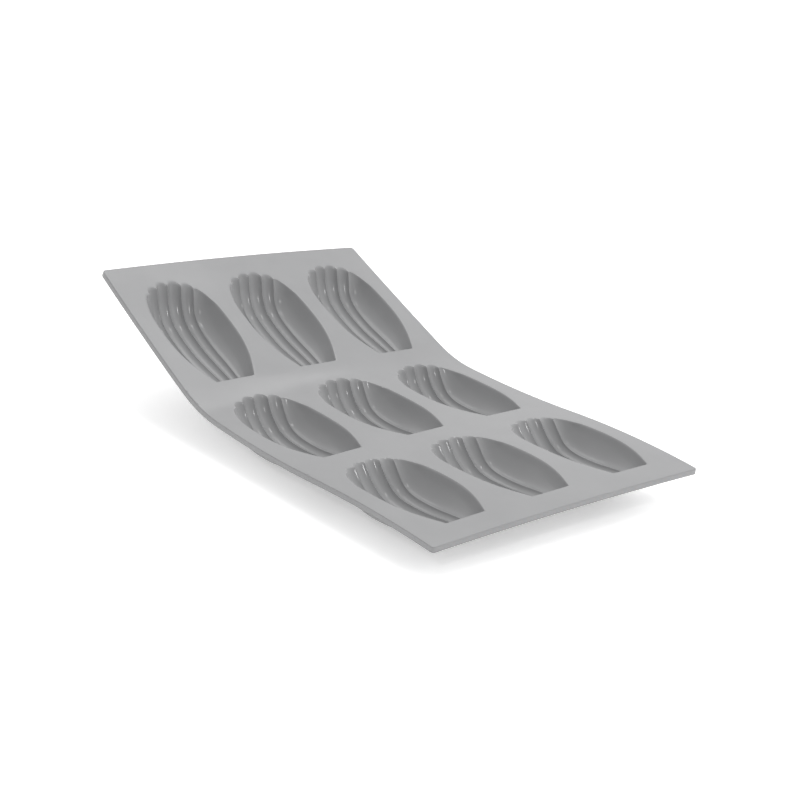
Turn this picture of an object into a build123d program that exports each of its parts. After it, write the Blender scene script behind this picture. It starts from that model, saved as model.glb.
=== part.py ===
from build123d import *
import os
from math import atan, cos, degrees, radians, sin, sqrt

# Silicone baking mould with three rows of three shell cups, in millimetres.
# X runs across the sheet, Y towards its raised back edge, Z up.
# The sheet is bent along its length, a little twisted and bowed, and stands on the cups of two rows.

# Sheet
sheet_width = 176.0
sheet_length = 300.0
sheet_thickness = 3.0
sheet_bow = 1.5
corner_radius = 1.5

# Grid of cups: rows count from the back, columns from the left
row_names = ["back", "middle", "front"]
column_names = ["left", "centre", "right"]
row_pitch = 95.0
column_pitch = 55.2

# One cup: along the sheet, across it, and down from the sheet's top face to the deepest ridge
cup_length = 78.8
cup_width = 44.2
cup_depth = 15.8
cup_wall = 2.0
seam_gap = 0.8
foot_flat = 0.5
headroom = 25.0

# Bend: slope in degrees where one curve meets the next, from the back edge to the front edge,
# as the sheet stands. A positive slope falls towards the front.
slopes = [24.5, 22.1, 3.0, -3.2, 4.0]
bend_reach_share = 0.18
front_curve_share = 0.04
station_count = 24

# Twist of the sheet from its back edge to its front edge, in degrees, and the share of it that
# has gone by where the sheet lies level, which is how far the whole sheet is rolled back
twist = 4.4
level_share = 0.865
level_roll = twist * level_share

# Sections of a cup, from above its scalloped end to past its flat end. Each gives its place along
# the cup, its lean from the sheet in degrees, the depth of its middle ridge, the spacing of its
# ridges, the rise of the outer ridges, its half width at the top and its height above the sheet.
# Places are shares of the cup's length, spacing, rise and width of its width, depth and height of
# its depth.
section_shares = [
    (-0.084, 34, -0.452, 0.179, 0.081, 0.473, 1.29),
    (0.155, 40, 0.542, 0.174, 0.100, 0.459, 0.34),
    (0.255, 52, 0.884, 0.167, 0.090, 0.491, 0.25),
    (0.296, 68, 0.976, 0.163, 0.070, 0.500, 0.25),
    (0.365, 82, 0.997, 0.159, 0.050, 0.508, 0.25),
    (0.480, 90, 0.990, 0.156, 0.045, 0.511, 0.25),
    (0.600, 90, 0.942, 0.151, 0.045, 0.502, 0.25),
    (0.720, 90, 0.842, 0.141, 0.044, 0.470, 0.25),
    (0.840, 90, 0.724, 0.124, 0.041, 0.408, 0.25),
    (0.960, 90, 0.608, 0.107, 0.038, 0.317, 0.25),
    (1.080, 90, 0.500, 0.090, 0.035, 0.215, 0.25),
]
tip_lean = section_shares[1][1]
flat_end_lean = 72
outer_ridge_share = 1.83
inner_rise_share = 0.38
flute_sag_share = 0.29
side_low_shares = (0.42, -0.09)
side_high_shares = (0.91, 0.40)

# Places along the sheet
end_margin = (sheet_length - cup_length - (len(row_names) - 1) * row_pitch) / 2
row_starts = [end_margin + row * row_pitch for row in range(len(row_names))]
tip_reach = cup_wall / sin(radians(tip_lean)) + seam_gap
flat_end_reach = cup_wall / sin(radians(flat_end_lean)) + seam_gap
back_web = (row_starts[0] + cup_length + flat_end_reach, row_starts[1] - tip_reach)
front_web = (row_starts[1] + cup_length + flat_end_reach, row_starts[2] - tip_reach)
curve_ends = [
    row_starts[0] + cup_length,
    row_starts[1] + bend_reach_share * cup_length,
    row_starts[2] + front_curve_share * cup_length,
    sheet_length,
]
curve_starts = [0.0] + curve_ends[:-1]
curves = list(zip(curve_starts, curve_ends, slopes, slopes[1:]))
column_places = [(column - 1) * column_pitch for column in range(len(column_names))]
stations = [station * sheet_length / station_count for station in range(station_count + 1)]


def line_place(along):
    """Point and slope of the sheet's line, this far from its back edge: arc after arc."""
    y, z, slope_here = 0.0, 0.0, slopes[0]
    for start, end, slope, next_slope in curves:
        run = min(along, end) - start
        if run <= 0:
            break
        half_turn = (next_slope - slope) * run / (end - start) / 2
        chord = run * sin(radians(half_turn)) / radians(half_turn)
        y -= chord * cos(radians(slope + half_turn))
        z -= chord * sin(radians(slope + half_turn))
        slope_here = slope + 2 * half_turn
    return Vector(0, y, z), slope_here


def turned(plane, turn):
    """The plane turned about its own axes, in degrees."""
    return Plane(plane.location * Location((0, 0, 0), turn))


def across_plane(along):
    """Plane square to the sheet's line: X across, Y up, Z towards the front edge."""
    share = along / sheet_length
    twist_here = twist * share * (2 - share)
    point, slope = line_place(along)
    ahead = Vector(0, -cos(radians(slope)), -sin(radians(slope)))
    return turned(Plane(origin=point, x_dir=(1, 0, 0), z_dir=ahead), (0, 0, twist_here))


def sheet_plane(along, across=0.0):
    """Plane on the sheet's top face: X across, Y towards the back edge, Z up."""
    square = across_plane(along)
    bow_rise = sheet_bow * (1 - (2 * across / sheet_width) ** 2)
    bow_tilt = degrees(atan(8 * sheet_bow * across / sheet_width**2))
    origin = square.from_local_coords(Vector(across, bow_rise, 0))
    flat = Plane(origin=origin, x_dir=square.x_dir, z_dir=square.y_dir)
    return turned(flat, (0, bow_tilt, 0))


def layer(low, high):
    """Loft of the sheet's bent form between two heights above its top face."""
    half = sheet_width / 2
    with BuildPart() as bent_layer:
        for along in stations:
            with BuildSketch(across_plane(along)):
                with BuildLine():
                    ThreePointArc((-half, high), (0, high + sheet_bow), (half, high))
                    Line((half, high), (half, low))
                    ThreePointArc((half, low), (0, low + sheet_bow), (-half, low))
                    Line((-half, low), (-half, high))
                make_face()
        loft()
    return bent_layer.part


def ridge_points(spacing, rise, floor):
    """The five ridges of a cup's section, from left to right, on the inner face."""
    right = [
        Vector(spacing, inner_rise_share * rise - floor),
        Vector(outer_ridge_share * spacing, rise - floor),
    ]
    left = [Vector(-point.X, point.Y) for point in reversed(right)]
    return left + [Vector(0, -floor)] + right


def offset_ridges(ridges, wall):
    """The same ridges on a face that lies one wall outside the inner face."""
    moved = []
    for index, point in enumerate(ridges):
        before = ridges[max(index - 1, 0)]
        after = ridges[min(index + 1, len(ridges) - 1)]
        run = after - before
        chord = run.length / (2 if 0 < index < len(ridges) - 1 else 1)
        sag = flute_sag_share * chord
        radius = (chord**2 / 4 + sag**2) / (2 * sag)
        drop = sqrt((radius + wall) ** 2 - chord**2 / 4) - (radius - sag)
        outward = Vector(run.Y, -run.X).normalized()
        moved.append(point + outward * drop)
    return moved


def side_curve(foot, rim):
    """Four control points of a cup's smooth side wall, from the outer ridge to the top."""
    run = rim - foot
    low = foot + Vector(side_low_shares[0] * run.X, side_low_shares[1] * run.Y)
    high = foot + Vector(side_high_shares[0] * run.X, side_high_shares[1] * run.Y)
    return foot, low, high, rim


def cup_form(row, column, wall):
    """A cup's inner form, or its outer form when it has a wall, cut at its flat end."""
    across = column_places[column]
    with BuildPart() as form:
        for place, lean, floor, spacing, rise, half_top, top in section_shares:
            along = row_starts[row] + place * cup_length
            plane = turned(sheet_plane(along, across), (180 - lean, 0, 0))
            ridges = ridge_points(spacing * cup_width, rise * cup_width, floor * cup_depth)
            corners = offset_ridges(ridges, wall)
            rim = Vector(half_top * cup_width + wall, top * cup_depth)
            left_rim = Vector(-rim.X, rim.Y)
            with BuildSketch(plane):
                with BuildLine():
                    Line(rim, left_rim)
                    Bezier(*reversed(side_curve(corners[0], left_rim)))
                    for index in range(len(ridges) - 1):
                        chord = ridges[index + 1] - ridges[index]
                        outward = Vector(chord.Y, -chord.X).normalized()
                        sag = flute_sag_share * chord.length + wall
                        middle = (ridges[index] + ridges[index + 1]) * 0.5 + outward * sag
                        ThreePointArc(corners[index], middle, corners[index + 1])
                    Bezier(*side_curve(corners[-1], rim))
                make_face()
        loft()
        flat_end = row_starts[row] + cup_length + wall / sin(radians(flat_end_lean))
        end_plane = turned(sheet_plane(flat_end, across), (180 - flat_end_lean, 0, 0))
        split(bisect_by=end_plane, keep=Keep.BOTTOM)
    return form.part


# The whole sheet with rounded corners, and the air above it
air = layer(0, headroom)
with BuildPart() as sheet:
    add(layer(-sheet_thickness, 0))
    fillet(sheet.edges().filter_by(lambda edge: edge.length < 2 * sheet_thickness), corner_radius)

# Nine shell cups, each ending flush with the sheet's top face
pieces = {}
outer_forms = {}
for row, row_name in enumerate(row_names):
    for column, column_name in enumerate(column_names):
        outer_forms[row, column] = cup_form(row, column, cup_wall)
        with BuildPart() as shell:
            add(outer_forms[row, column])
            add(air, mode=Mode.SUBTRACT)
            add(cup_form(row, column, 0), mode=Mode.SUBTRACT)
        pieces[f"shell_{row_name}_{column_name}"] = shell.part

# The sheet in five strips: a panel round each row of cups, and a flexing web between two rows
strips = {
    "back_panel": (0, back_web[0], 0),
    "back_flex_web": (*back_web, None),
    "middle_panel": (back_web[1], front_web[0], 1),
    "front_flex_web": (*front_web, None),
    "front_panel": (front_web[1], sheet_length, 2),
}
for name, (start, end, row) in strips.items():
    with BuildPart() as strip:
        add(sheet.part)
        if start > 0:
            split(bisect_by=across_plane(start), keep=Keep.TOP)
        if end < sheet_length:
            split(bisect_by=across_plane(end), keep=Keep.BOTTOM)
        if row is not None:
            for column in range(len(column_names)):
                add(outer_forms[row, column], mode=Mode.SUBTRACT)
    pieces[name] = strip.part

# The mould stands level on small flats under its lowest cups, centred on the origin
os.makedirs("parts", exist_ok=True)
rolled = Location((0, 0, 0), (0, level_roll, 0))
pieces = {name: piece.moved(rolled) for name, piece in pieces.items()}
lowest = min(piece.bounding_box().min.Z for piece in pieces.values())
front = min(piece.bounding_box().min.Y for piece in pieces.values())
back = max(piece.bounding_box().max.Y for piece in pieces.values())
left = min(piece.bounding_box().min.X for piece in pieces.values())
right = max(piece.bounding_box().max.X for piece in pieces.values())
standing = Location((-(left + right) / 2, -(front + back) / 2, -lowest - foot_flat))
for name, piece in pieces.items():
    with BuildPart() as node:
        add(piece.moved(standing))
        if node.part.bounding_box().min.Z < 0:
            split(bisect_by=Plane.XY, keep=Keep.TOP)
    node.part.label = name
    export_step(node.part, f"parts/{name}.step")
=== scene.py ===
from math import atan2, cos, pi, radians, sin, tan

import bmesh
import bpy
import numpy as np
from mathutils import Matrix, Vector


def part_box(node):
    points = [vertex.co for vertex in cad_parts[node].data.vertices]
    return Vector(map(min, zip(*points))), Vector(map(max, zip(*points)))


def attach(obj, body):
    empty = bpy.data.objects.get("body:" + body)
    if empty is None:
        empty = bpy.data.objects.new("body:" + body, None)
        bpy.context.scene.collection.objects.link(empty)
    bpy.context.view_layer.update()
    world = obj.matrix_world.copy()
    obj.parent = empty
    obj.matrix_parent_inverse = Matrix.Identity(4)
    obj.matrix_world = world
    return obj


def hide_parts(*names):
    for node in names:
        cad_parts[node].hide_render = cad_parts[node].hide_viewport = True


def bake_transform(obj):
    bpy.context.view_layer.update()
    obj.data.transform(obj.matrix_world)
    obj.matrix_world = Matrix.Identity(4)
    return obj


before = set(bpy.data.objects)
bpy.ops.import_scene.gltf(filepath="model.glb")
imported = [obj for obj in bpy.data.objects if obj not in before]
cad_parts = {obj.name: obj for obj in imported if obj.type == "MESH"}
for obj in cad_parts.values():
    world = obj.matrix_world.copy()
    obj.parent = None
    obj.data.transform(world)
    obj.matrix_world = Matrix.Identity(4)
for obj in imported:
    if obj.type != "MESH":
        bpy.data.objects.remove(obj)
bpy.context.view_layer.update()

# Metres and degrees throughout. A place on the mould is written flat, as (along, across, up):
# along the sheet from its back edge, across it from its middle line, and up from its top face.

# Sheet
sheet_width = 0.176
sheet_length = 0.300
sheet_thickness = 0.003
sheet_bow = 0.0015
corner_radius = 0.0015

# Grid of cups: rows count from the back, columns from the left
row_names = ["back", "middle", "front"]
column_names = ["left", "centre", "right"]
row_pitch = 0.095
column_pitch = 0.0552

# One cup
cup_length = 0.0788
cup_width = 0.0442
cup_depth = 0.0158
cup_wall = 0.002
seam_gap = 0.0008

# Bend and twist of the sheet
slopes = [24.5, 22.1, 3.0, -3.2, 4.0]
bend_reach_share = 0.18
front_curve_share = 0.04
twist = 4.4
level_share = 0.865
level_roll = twist * level_share
line_steps = 1200
web_samples = 41

# Sections of a cup: place along it, lean, depth of the middle ridge, spacing of the ridges, rise
# of the outer ridges, half width at the top, height above the sheet
section_shares = [
    (-0.084, 34, -0.452, 0.179, 0.081, 0.473, 1.29),
    (0.155, 40, 0.542, 0.174, 0.100, 0.459, 0.34),
    (0.255, 52, 0.884, 0.167, 0.090, 0.491, 0.25),
    (0.296, 68, 0.976, 0.163, 0.070, 0.500, 0.25),
    (0.365, 82, 0.997, 0.159, 0.050, 0.508, 0.25),
    (0.480, 90, 0.990, 0.156, 0.045, 0.511, 0.25),
    (0.600, 90, 0.942, 0.151, 0.045, 0.502, 0.25),
    (0.720, 90, 0.842, 0.141, 0.044, 0.470, 0.25),
    (0.840, 90, 0.724, 0.124, 0.041, 0.408, 0.25),
    (0.960, 90, 0.608, 0.107, 0.038, 0.317, 0.25),
    (1.080, 90, 0.500, 0.090, 0.035, 0.215, 0.25),
]
tip_lean = 40
flat_end_lean = 72
outer_ridge_share = 1.83
inner_rise_share = 0.38
outer_flute_sag_share = 0.29
inner_flute_sag_share = 0.365
side_low_shares = (0.42, -0.09)
side_high_shares = (0.91, 0.40)

# Rounding of edges
rim_round = 0.0004
rim_drop_share = 0.203
edge_round = 0.0006
smoothing_reach = 5

# How finely the skin is divided, and how near two places are the same
flute_steps = 10
side_steps = 12
row_steps = 60
end_steps = 6
dense_steps = 600
cell_columns = 4 * flute_steps + 2 * side_steps + 1
near_rim_share = 0.94
wall_shares = np.append(np.linspace(0, near_rim_share, side_steps), 1.0)
end_rim_share = 0.06
band_shares = [0.0, 0.06, 0.2, 0.42, 0.66, 0.86, 0.96, 1.0]
web_shares = [0.0, 0.03, 0.12, 0.3, 0.5, 0.7, 0.88, 0.97, 1.0]
steps_per_metre = 1e7
on_edge = 1e-6

# Places along and across the sheet
end_margin = (sheet_length - cup_length - (len(row_names) - 1) * row_pitch) / 2
row_starts = [end_margin + row * row_pitch for row in range(len(row_names))]
tip_reach = cup_wall / sin(radians(tip_lean)) + seam_gap
flat_end_reach = cup_wall / sin(radians(flat_end_lean)) + seam_gap
back_web = (row_starts[0] + cup_length + flat_end_reach, row_starts[1] - tip_reach)
front_web = (row_starts[1] + cup_length + flat_end_reach, row_starts[2] - tip_reach)
curve_ends = [
    0.0,
    row_starts[0] + cup_length,
    row_starts[1] + bend_reach_share * cup_length,
    row_starts[2] + front_curve_share * cup_length,
    sheet_length,
]
column_places = [(column - 1) * column_pitch for column in range(len(column_names))]
column_edges = [-sheet_width / 2, -column_pitch / 2, column_pitch / 2, sheet_width / 2]

# Silicone: its grey and roughness from one patch to the next, and each noise's scale and detail
silicone_greys = [(0.270, 0.271, 0.275), (0.290, 0.291, 0.295)]
silicone_roughness = [(0.15,) * 3, (0.18,) * 3]
silicone_index = 1.43
silicone_specular = 0.5
ramp_stops = (0.3, 0.7)
cloud_noise = (28, 3)
gloss_noise = (90, 4)
grain_noise = (2600, 2)
grain_strength = 0.04
grain_height = 0.0001
wave_noise = (120, 2)
wave_strength = 0.03
wave_height = 0.0008

# Floor and world
floor_size = 12
floor_grey = 0.9
floor_roughness = 0.9
floor_glow = 0.42
world_light = 0.74

# Lamps: name, place, size, power, and whether the silicone reflects them
lamps = [
    ("front_right", (0.60, -0.34, 1.10), 0.5, 2.8, False),
    ("low_front_right", (0.80, -0.80, 0.65), 0.5, 3.3, False),
    ("low_right", (1.13, 0.0, 0.65), 0.5, 2.8, False),
    ("back_right", (0.34, 0.60, 1.10), 0.8, 2.4, True),
    ("back_right_fill", (0.34, 0.60, 1.10), 0.8, 2.1, False),
    ("glint", (-0.93, -0.72, 0.76), 0.05, 1.8, True),
    ("overhead", (0.02, -0.10, 1.20), 0.2, 1.5, True),
]

# Camera: its place and turn, its focal length in pixels of an 800 by 800 image, its sensor in mm
image_size = 800
focal_pixels = 2130.1
sensor_width = 36
camera_place = (-0.68739, -0.80781, 0.42856)
camera_yaw, camera_drop, camera_roll = 40.808, 20.809, 3.923


# Bend: from flat places to the standing mould

line_along = np.linspace(0, sheet_length, line_steps + 1)
line_slope = np.radians(np.interp(line_along, curve_ends, slopes))


def running_sum(rate):
    """Sum of a rate along the sheet's line, zero at the back edge."""
    step = sheet_length / line_steps
    return np.concatenate([[0.0], np.cumsum((rate[1:] + rate[:-1]) / 2 * step)])


line_y = running_sum(-np.cos(line_slope))
line_z = running_sum(-np.sin(line_slope))


def bend(places, shift=(0.0, 0.0, 0.0)):
    """Flat places as points of the bent, twisted and bowed mould."""
    along, across, up = np.asarray(places, float).T
    slope = np.interp(along, line_along, line_slope)
    share = along / sheet_length
    tilt = np.radians(twist * share * (2 - share))
    height = up + sheet_bow * (1 - (2 * across / sheet_width) ** 2)
    x = across * np.cos(tilt) - height * np.sin(tilt)
    lift = across * np.sin(tilt) + height * np.cos(tilt)
    y = np.interp(along, line_along, line_y) - np.sin(slope) * lift
    z = np.interp(along, line_along, line_z) + np.cos(slope) * lift
    roll = radians(level_roll)
    rolled = [x * cos(roll) + z * sin(roll), y, z * cos(roll) - x * sin(roll)]
    return np.stack(rolled, 1) + np.array(shift)


def standing_shift():
    """How far the sheet's line is moved so that the back web lies where the frame has it."""
    low, high = (np.array(corner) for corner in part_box("back_flex_web"))
    across = np.linspace(-sheet_width / 2, sheet_width / 2, web_samples)
    web = [(along, x, up) for along in back_web for x in across for up in (0, -sheet_thickness)]
    points = bend(web)
    return (low + high) / 2 - (points.min(0) + points.max(0)) / 2


shift = standing_shift()


# One cup as a skin of flat places

def right_of(run):
    """Direction at right angles to a run, on its right."""
    return np.array([run[1], -run[0]]) / np.hypot(*run)


def arc_points(start, end, sag, shares):
    """Points on an arc from start to end that bulges by sag to the right of its chord."""
    chord = end - start
    length = np.hypot(*chord)
    outward = right_of(chord)
    radius = (length**2 / 4 + sag**2) / (2 * sag)
    centre = (start + end) / 2 - outward * (radius - sag)
    half = atan2(length / 2, radius - sag)
    turns = 2 * half * shares - half
    return [centre + radius * (outward * cos(turn) + chord / length * sin(turn)) for turn in turns]


def bezier_points(controls, shares):
    """Points on a cubic curve with four control points."""
    p, t = controls, shares[:, None]
    near_start = (1 - t) ** 3 * p[0] + 3 * (1 - t) ** 2 * t * p[1]
    return list(near_start + 3 * (1 - t) * t**2 * p[2] + t**3 * p[3])


def ridge_points(spacing, rise, floor):
    """The five ridges of a section, from left to right, on the inner face."""
    right = [
        np.array([spacing, inner_rise_share * rise - floor]),
        np.array([outer_ridge_share * spacing, rise - floor]),
    ]
    left = [np.array([-x, y]) for x, y in reversed(right)]
    return left + [np.array([0.0, -floor])] + right


def offset_ridges(ridges, wall):
    """The same ridges on a face that lies one wall outside the inner face."""
    last = len(ridges) - 1
    moved = []
    for index, point in enumerate(ridges):
        run = ridges[min(index + 1, last)] - ridges[max(index - 1, 0)]
        chord = np.hypot(*run) / (2 if 0 < index < last else 1)
        sag = outer_flute_sag_share * chord
        radius = (chord**2 / 4 + sag**2) / (2 * sag)
        drop = ((radius + wall) ** 2 - chord**2 / 4) ** 0.5 - (radius - sag)
        moved.append(point + right_of(run) * drop)
    return moved


def section_profile(values, wall):
    """A section's flutes and its right side, as flat places with along counted from the tip."""
    place, lean, floor, spacing, rise, half_top, top = values
    ridges = ridge_points(spacing * cup_width, rise * cup_width, floor * cup_depth)
    corners = offset_ridges(ridges, wall)
    sag_share = outer_flute_sag_share if wall else inner_flute_sag_share
    eased = (1 - np.cos(np.linspace(0, pi, flute_steps + 1))) / 2
    flutes = []
    for index in range(len(ridges) - 1):
        inner_run = ridges[index + 1] - ridges[index]
        reach = sag_share * np.hypot(*inner_run) + wall
        middle = (ridges[index] + ridges[index + 1]) / 2 + right_of(inner_run) * reach
        start, end = corners[index], corners[index + 1]
        sag = np.dot(middle - (start + end) / 2, right_of(end - start))
        flutes = flutes[:-1] + arc_points(start, end, sag, eased)
    foot = corners[-1]
    rim = np.array([half_top * cup_width + wall, top * cup_depth])
    low = foot + (rim - foot) * side_low_shares
    high = foot + (rim - foot) * side_high_shares
    side = bezier_points(np.array([foot, low, high, rim]), np.linspace(0, 1, 4 * side_steps + 1))
    origin, tilt = place * cup_length, radians(lean)

    def flat(points):
        return np.array([(origin + h * cos(tilt), x, h * sin(tilt)) for x, h in points])

    return flat(flutes), flat(side)


def spline_matrix(count, places):
    """Weights that turn values at 0, 1, 2 ... into their natural cubic spline's at places."""
    system = np.eye(count)
    rates = np.zeros((count, count))
    for row in range(1, count - 1):
        system[row, row - 1:row + 2] = (1, 4, 1)
        rates[row, row - 1:row + 2] = (6, -12, 6)
    bends = np.linalg.solve(system, rates)
    index = np.clip(places.astype(int), 0, count - 2)
    t = (places - index)[:, None]
    left, right = np.eye(count)[index], np.eye(count)[index + 1]
    straight = (1 - t) * left + t * right
    left_bend = ((1 - t) ** 3 - (1 - t)) / 6 * bends[index]
    return straight + left_bend + (t**3 - t) / 6 * bends[index + 1]


def resample(line, shares):
    """Points at shares of a line's length."""
    steps = np.linalg.norm(np.diff(line, axis=0), axis=1)
    gone = np.concatenate([[0.0], np.cumsum(steps)])
    return np.stack([np.interp(shares * gone[-1], gone, line[:, axis]) for axis in range(3)], 1)


def crossing(line, values, index):
    """Where a line's values pass through zero, on the step that ends at an index."""
    share = values[index - 1] / (values[index - 1] - values[index])
    return line[index - 1] + share * (line[index] - line[index - 1])


def cut_at_level(line, level):
    """A line that comes down into the cup, from where it passes the level."""
    height = line[:, 2] - level
    first = int(np.argmax(height < 0))
    start = crossing(line, height, first) if first > 0 else line[0]
    return np.concatenate([[start], line[first:]])


def cut_at_end(line, end_place):
    """A line that runs along the cup, as far as its flat end."""
    beyond = line[:, 0] - (end_place + line[:, 2] / tan(radians(flat_end_lean)))
    last = int(np.argmax(beyond > 0))
    return np.concatenate([line[:last], [crossing(line, beyond, last)]])


def cup_grid(wall, level):
    """A cup's face below a level: rows from tip to flat end, columns from left rim to right rim."""
    places = np.linspace(0, len(section_shares) - 1, dense_steps)
    weights = spline_matrix(len(section_shares), places)
    profiles = zip(*[section_profile(values, wall) for values in section_shares])
    flutes, sides = (np.einsum("ps,scx->pcx", weights, np.array(lines)) for lines in profiles)
    end_place = cup_length + wall / sin(radians(flat_end_lean))
    row_shares = np.linspace(0, 1, row_steps + 1)
    columns = []
    for column in range(flutes.shape[1]):
        line = cut_at_end(cut_at_level(flutes[:, column], level), end_place)
        columns.append(resample(line, row_shares))
    # The side wall, cut at the level in each dense section, then divided from ridge to rim
    first = int(np.argmax(flutes[:, -1, 2] < level))
    strips = []
    for side in sides[first:]:
        height = side[:, 2] - level
        over = int(np.argmax(height > 0))
        strip = np.concatenate([side[:over], [crossing(side, height, over)]])
        strips.append(resample(strip, wall_shares))
    strips = np.array(strips)
    tip = columns[-1][0]
    for step in range(1, side_steps + 1):
        line = cut_at_end(np.concatenate([[tip], strips[:, step]]), end_place)
        columns.append(resample(line, row_shares))
    mirrored = [column * np.array([1, -1, 1]) for column in reversed(columns[-side_steps:])]
    return np.stack(mirrored + columns, 1)


# Skins: vertices by flat place, so that patches that share an edge are joined

def key_of(place):
    """A flat place in whole steps, the same for places that meet."""
    return tuple(int(round(value * steps_per_metre)) for value in place)


class Skin:
    def __init__(self):
        self.index = {}
        self.places = []
        self.faces = []
        self.flat_faces = set()

    def vertex(self, place):
        key = key_of(place)
        if key not in self.index:
            self.index[key] = len(self.places)
            self.places.append(tuple(place))
        return self.index[key]

    def patch(self, rows, is_flat=False):
        """Quads between rows of places."""
        ids = [[self.vertex(place) for place in row] for row in rows]
        for upper, lower in zip(ids, ids[1:]):
            for quad in zip(upper, upper[1:], lower[1:], lower):
                corners = list(dict.fromkeys(quad))
                if len(corners) > 2:
                    if is_flat:
                        self.flat_faces.add(len(self.faces))
                    self.faces.append(corners)


def rounded(places):
    """Border places, with those near a corner of the sheet drawn in to its round corner."""
    half = sheet_width / 2 - corner_radius
    for place in places:
        for end, side in ((corner_radius, -1), (sheet_length - corner_radius, 1)):
            out_along = (place[0] - end) * side
            out_across = abs(place[1]) - half
            if out_along > 0 and out_across > 0:
                reach = max(out_along, out_across) / (out_along**2 + out_across**2) ** 0.5
                place[0] = end + out_along * reach * side
                place[1] = np.sign(place[1]) * (half + out_across * reach)
    return places


def pulled_in(places, distance):
    """Border places moved in from the edges of the sheet."""
    inner = np.array(places)
    half = sheet_width / 2
    inner[:, 1] = np.clip(inner[:, 1], distance - half, half - distance)
    inner[:, 0] = np.clip(inner[:, 0], distance, sheet_length - distance)
    return inner


def cell_border(column, level, span):
    """The rectangle of sheet round a cup, with a place for each on the cup's rim."""
    left, right = column_edges[column], column_edges[column + 1]
    along = np.linspace(span[1], span[0], row_steps - side_steps + 1)
    across = np.linspace(left, right, cell_columns)
    border = [(a, left, level) for a in along[:-1]]
    border += [(span[0], x, level) for x in across[:-1]]
    border += [(a, right, level) for a in along[::-1][:-1]]
    border += [(span[1], x, level) for x in across[::-1][:-1]]
    return rounded(np.array(border))


def outward_of(rim):
    """Directions away from the cup at its rim, on the sheet, smoothed along the rim."""
    along_rim = np.roll(rim, -1, 0) - np.roll(rim, 1, 0)
    outward = np.stack([-along_rim[:, 1], along_rim[:, 0], 0 * along_rim[:, 0]], 1)
    outward *= np.sign((outward * (rim - rim.mean(0))).sum(1, keepdims=True))
    outward /= np.linalg.norm(outward, axis=1, keepdims=True)
    near = range(-smoothing_reach, smoothing_reach + 1)
    outward = sum(np.roll(outward, step, 0) for step in near)
    return outward / np.linalg.norm(outward, axis=1, keepdims=True)


def cell(skin, row, column, wall, level, span):
    """A cup and the rectangle of sheet round it, on the top or the underside."""
    grid = cup_grid(wall, level) + np.array([row_starts[row], column_places[column], 0.0])
    end_line = np.linspace(grid[-1, 0], grid[-1, -1], cell_columns)
    scallops = grid[0, side_steps + 1:-side_steps - 1]
    rim = np.concatenate([grid[::-1, 0], scallops, grid[:, -1], end_line[::-1][1:-1]])
    border = cell_border(column, level, span)
    inner_border = pulled_in(border, edge_round)
    # The rim is rounded: drawn down and out, with a loop of places round it on the sheet
    outward = outward_of(rim)
    on_sheet = rim + outward * rim_round
    drawn = rim + (outward - np.array([0, 0, 1.0])) * rim_round * rim_drop_share
    drawn_places = {key_of(place): new for place, new in zip(rim, drawn)}

    def moved(lines):
        return [[drawn_places.get(key_of(place), place) for place in line] for line in lines]

    end_shares = np.linspace(0, 1, end_steps + 1)
    end_shares[-2] = 1 - end_rim_share
    skin.patch(moved(grid))
    skin.patch(moved([grid[-1] + (end_line - grid[-1]) * share for share in end_shares]))
    bands = [on_sheet + (inner_border - on_sheet) * share for share in band_shares]
    skin.patch([np.concatenate([loop, loop[:1]]) for loop in (drawn, *bands, border)])


def section_skin(row, span):
    """One row of cups with its stretch of sheet, closed all round."""
    skin = Skin()
    for column in range(len(column_names)):
        cell(skin, row, column, 0.0, 0.0, span)
        cell(skin, row, column, cup_wall, -sheet_thickness, span)
    close_edges(skin)
    return skin


def web_skin(span):
    """A stretch of sheet between two rows, closed all round."""
    skin = Skin()
    for level in (0.0, -sheet_thickness):
        for left, right in zip(column_edges, column_edges[1:]):
            across = np.linspace(left, right, cell_columns)
            places_along = [span[0] + (span[1] - span[0]) * share for share in web_shares]
            skin.patch([[(along, x, level) for x in across] for along in places_along])
    close_edges(skin)
    return skin


def close_edges(skin):
    """Walls between the open borders of the top and the underside."""
    uses = {}
    for face in skin.faces:
        for edge in map(frozenset, zip(face, face[1:] + face[:1])):
            uses[edge] = uses.get(edge, 0) + 1
    under = -sheet_thickness
    levels = [0.0, -edge_round, under + edge_round, under]
    for edge, count in uses.items():
        a, b = (np.array(skin.places[v]) for v in edge)
        if count == 1 and a[2] == 0.0 and b[2] == 0.0:
            is_outside = is_on_outside(a) and is_on_outside(b)
            skin.patch([[(p[0], p[1], level) for p in (a, b)] for level in levels], not is_outside)


def is_on_outside(place):
    """Whether a border place is on the outer edge of the sheet, not at a web."""
    near_ends = min(place[0], sheet_length - place[0]) < corner_radius
    return near_ends or abs(place[1]) > sheet_width / 2 - on_edge


def skin_object(name, skin):
    """A Blender object of a skin, bent to shape, standing flat on the floor."""
    points = bend(skin.places, shift)
    points[:, 2] = np.maximum(points[:, 2], 0.0)
    mesh = bpy.data.meshes.new(name)
    mesh.from_pydata([tuple(point) for point in points], [], skin.faces)
    is_smooth = [number not in skin.flat_faces for number in range(len(skin.faces))]
    mesh.polygons.foreach_set("use_smooth", is_smooth)
    piece = bpy.data.objects.new(name, mesh)
    bpy.context.scene.collection.objects.link(piece)
    turn_outward(mesh)
    mesh.materials.append(silicone)
    return piece


def turn_outward(mesh):
    """Faces turned outward, and flat ones parted from smooth ones so that they don't shade them."""
    work = bmesh.new()
    work.from_mesh(mesh)
    bmesh.ops.recalc_face_normals(work, faces=work.faces)
    creases = [edge for edge in work.edges if len({face.smooth for face in edge.link_faces}) == 2]
    bmesh.ops.split_edges(work, edges=creases)
    work.to_mesh(mesh)
    work.free()


# Material

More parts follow.
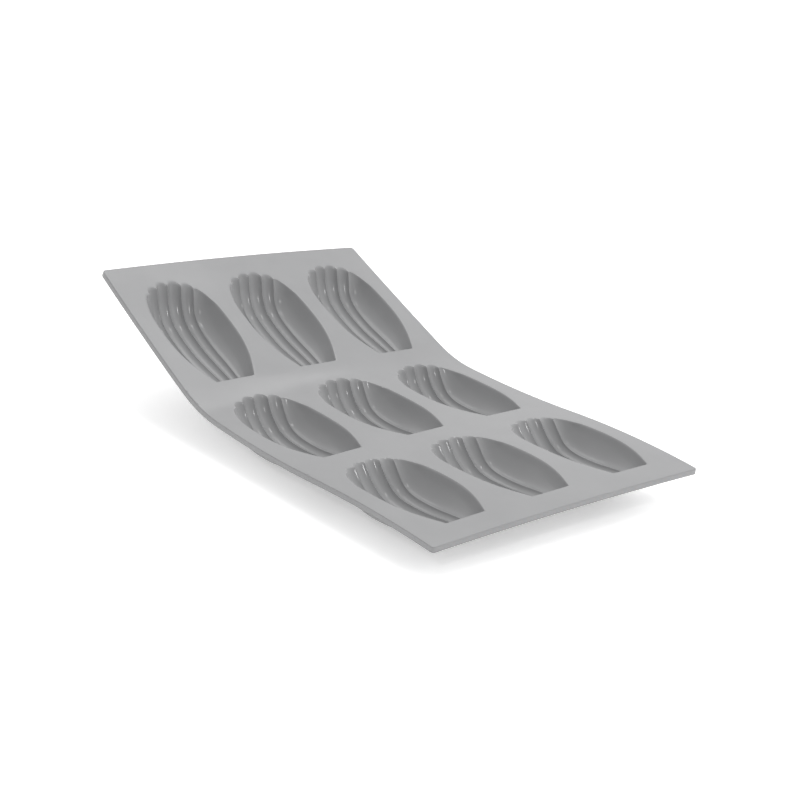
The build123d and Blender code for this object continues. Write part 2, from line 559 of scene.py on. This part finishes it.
def new_material(name):
    """A material with nodes, its tree and its shader."""
    material = bpy.data.materials.new(name)
    material.use_nodes = True
    return material, material.node_tree, material.node_tree.nodes["Principled BSDF"]


def silicone_material():
    """Satin grey silicone with a fine grain, faint cloudiness and slight waves."""
    material, tree, shader = new_material("satin_silicone")
    shader.inputs["IOR"].default_value = silicone_index
    shader.inputs["Specular IOR Level"].default_value = silicone_specular
    place = tree.nodes.new("ShaderNodeTexCoord")

    def noise(scale, detail):
        node = tree.nodes.new("ShaderNodeTexNoise")
        node.inputs["Scale"].default_value = scale
        node.inputs["Detail"].default_value = detail
        tree.links.new(place.outputs["Object"], node.inputs["Vector"])
        return node.outputs["Fac"]

    def ramp(source, colours):
        node = tree.nodes.new("ShaderNodeValToRGB")
        tree.links.new(source, node.inputs["Fac"])
        for element, stop, colour in zip(node.color_ramp.elements, ramp_stops, colours):
            element.position = stop
            element.color = (*colour, 1)
        return node.outputs["Color"]

    def bump(source, strength, height):
        node = tree.nodes.new("ShaderNodeBump")
        node.inputs["Strength"].default_value = strength
        node.inputs["Distance"].default_value = height
        tree.links.new(source, node.inputs["Height"])
        return node

    colour = ramp(noise(*cloud_noise), silicone_greys)
    roughness = ramp(noise(*gloss_noise), silicone_roughness)
    grain = bump(noise(*grain_noise), grain_strength, grain_height)
    waves = bump(noise(*wave_noise), wave_strength, wave_height)
    tree.links.new(colour, shader.inputs["Base Color"])
    tree.links.new(roughness, shader.inputs["Roughness"])
    tree.links.new(grain.outputs["Normal"], waves.inputs["Normal"])
    tree.links.new(waves.outputs["Normal"], shader.inputs["Normal"])
    return material


silicone = silicone_material()


# Pieces

sections = {
    "back": (0.0, back_web[0]),
    "middle": (back_web[1], front_web[0]),
    "front": (front_web[1], sheet_length),
}
for row, (row_name, span) in enumerate(sections.items()):
    piece = skin_object(f"{row_name}_row_skin", section_skin(row, span))
    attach(piece, f"{row_name}_section")
    shells = [f"shell_{row_name}_{column_name}" for column_name in column_names]
    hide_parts(f"{row_name}_panel", *shells)

# Each web: the stretch of sheet between the middle section and a neighbouring row, built in place
webs = {
    "back": ("back_section", back_web[1], back_web[0]),
    "front": ("front_section", front_web[0], front_web[1]),
}
for name, (body, near_middle, near_body) in webs.items():
    span = (min(near_middle, near_body), max(near_middle, near_body))
    piece = skin_object(f"{name}_web_skin", web_skin(span))
    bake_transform(piece)
    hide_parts(f"{name}_flex_web")


# Floor and background, white to the camera but plain to the light

def floor_material():
    """A pale floor that glows a little for the camera and in reflections."""
    material, tree, shader = new_material("pale_floor")
    shader.inputs["Base Color"].default_value = (floor_grey, floor_grey, floor_grey, 1)
    shader.inputs["Roughness"].default_value = floor_roughness
    shader.inputs["Emission Color"].default_value = (1, 1, 1, 1)
    paths = tree.nodes.new("ShaderNodeLightPath")
    either = tree.nodes.new("ShaderNodeMath")
    either.operation = "MAXIMUM"
    tree.links.new(paths.outputs["Is Camera Ray"], either.inputs[0])
    tree.links.new(paths.outputs["Is Glossy Ray"], either.inputs[1])
    glow = tree.nodes.new("ShaderNodeMath")
    glow.operation = "MULTIPLY"
    glow.inputs[1].default_value = floor_glow
    tree.links.new(either.outputs["Value"], glow.inputs[0])
    tree.links.new(glow.outputs["Value"], shader.inputs["Emission Strength"])
    return material


def add_floor():
    bpy.ops.mesh.primitive_plane_add(size=floor_size, location=(0, 0, 0))
    floor = bpy.context.object
    floor.name = "floor"
    floor.data.materials.append(floor_material())


def add_world():
    """Even white light, with a pure white background for the camera."""
    world = bpy.data.worlds.new("studio")
    bpy.context.scene.world = world
    world.use_nodes = True
    tree = world.node_tree
    tree.nodes.clear()

    def background(strength):
        node = tree.nodes.new("ShaderNodeBackground")
        node.inputs["Color"].default_value = (1, 1, 1, 1)
        node.inputs["Strength"].default_value = strength
        return node.outputs["Background"]

    paths = tree.nodes.new("ShaderNodeLightPath")
    mix = tree.nodes.new("ShaderNodeMixShader")
    output = tree.nodes.new("ShaderNodeOutputWorld")
    tree.links.new(paths.outputs["Is Camera Ray"], mix.inputs["Fac"])
    tree.links.new(background(world_light), mix.inputs[1])
    tree.links.new(background(1.0), mix.inputs[2])
    tree.links.new(mix.outputs["Shader"], output.inputs["Surface"])


def add_area_light(name, place, size, power, has_reflection):
    """A square lamp that faces the mould, with or without its reflection in the silicone."""
    light = bpy.data.lights.new(name, "AREA")
    light.shape = "SQUARE"
    light.size = size
    light.energy = power
    lamp = bpy.data.objects.new(name, light)
    lamp.location = place
    lamp.rotation_euler = Vector(place).to_track_quat("Z", "Y").to_euler()
    lamp.visible_glossy = has_reflection
    bpy.context.scene.collection.objects.link(lamp)


def add_camera():
    """The camera, where the photograph was taken from."""
    yaw, drop, roll = radians(camera_yaw), radians(camera_drop), radians(camera_roll)
    ahead = Vector((sin(yaw) * cos(drop), cos(yaw) * cos(drop), -sin(drop)))
    level = Vector((cos(yaw), -sin(yaw), 0))
    upright = level.cross(ahead)
    right = level * cos(roll) + upright * sin(roll)
    up = upright * cos(roll) - level * sin(roll)
    data = bpy.data.cameras.new("camera")
    data.sensor_fit = "HORIZONTAL"
    data.sensor_width = sensor_width
    data.lens = focal_pixels / image_size * sensor_width
    camera = bpy.data.objects.new("camera", data)
    turn = Matrix((right, up, -ahead)).transposed()
    camera.matrix_world = Matrix.Translation(camera_place) @ turn.to_4x4()
    bpy.context.scene.collection.objects.link(camera)
    bpy.context.scene.camera = camera


add_floor()
add_world()
for lamp in lamps:
    add_area_light(*lamp)
add_camera()
bpy.context.scene.view_settings.view_transform = "Standard"
